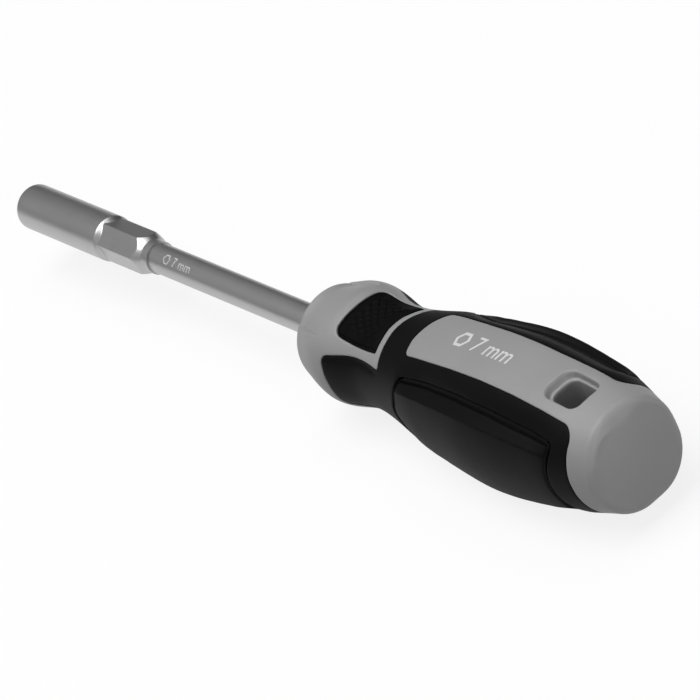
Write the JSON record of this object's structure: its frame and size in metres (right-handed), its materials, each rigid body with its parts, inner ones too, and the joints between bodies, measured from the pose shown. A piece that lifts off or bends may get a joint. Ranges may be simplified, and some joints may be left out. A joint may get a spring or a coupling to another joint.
{
  "type": "nut driver",
  "caption": "Fixed-blade nut driver: steel hexagon socket on a round shaft, in a contoured grey handle with black soft grips and a hanging hole.",
  "frame": {"origin": "centre of the socket's mouth, in the plane of its front face", "axes": "+X back along the blade to the butt of the handle, +Z out of the upper grey window, +Y to the right seen from the butt"},
  "size_m": [0.236, 0.0336, 0.0304],
  "materials": {
    "socket_steel": "satin",
    "shaft_steel": "satin",
    "core_plastic": "matte",
    "grey_plastic": "matte",
    "black_grip": "satin",
    "black_pad": "textured matte"
  },
  "bodies": {
    "root": {"socket": "socket_steel", "shaft": "shaft_steel", "handle_core": "core_plastic", "handle_body": "grey_plastic", "grip_sleeve": "black_grip", "grip_panel_left": "black_grip", "grip_panel_right": "black_grip", "thumb_pad_top": "black_pad", "thumb_pad_bottom": "black_pad"}
  },
  "joints": []
}
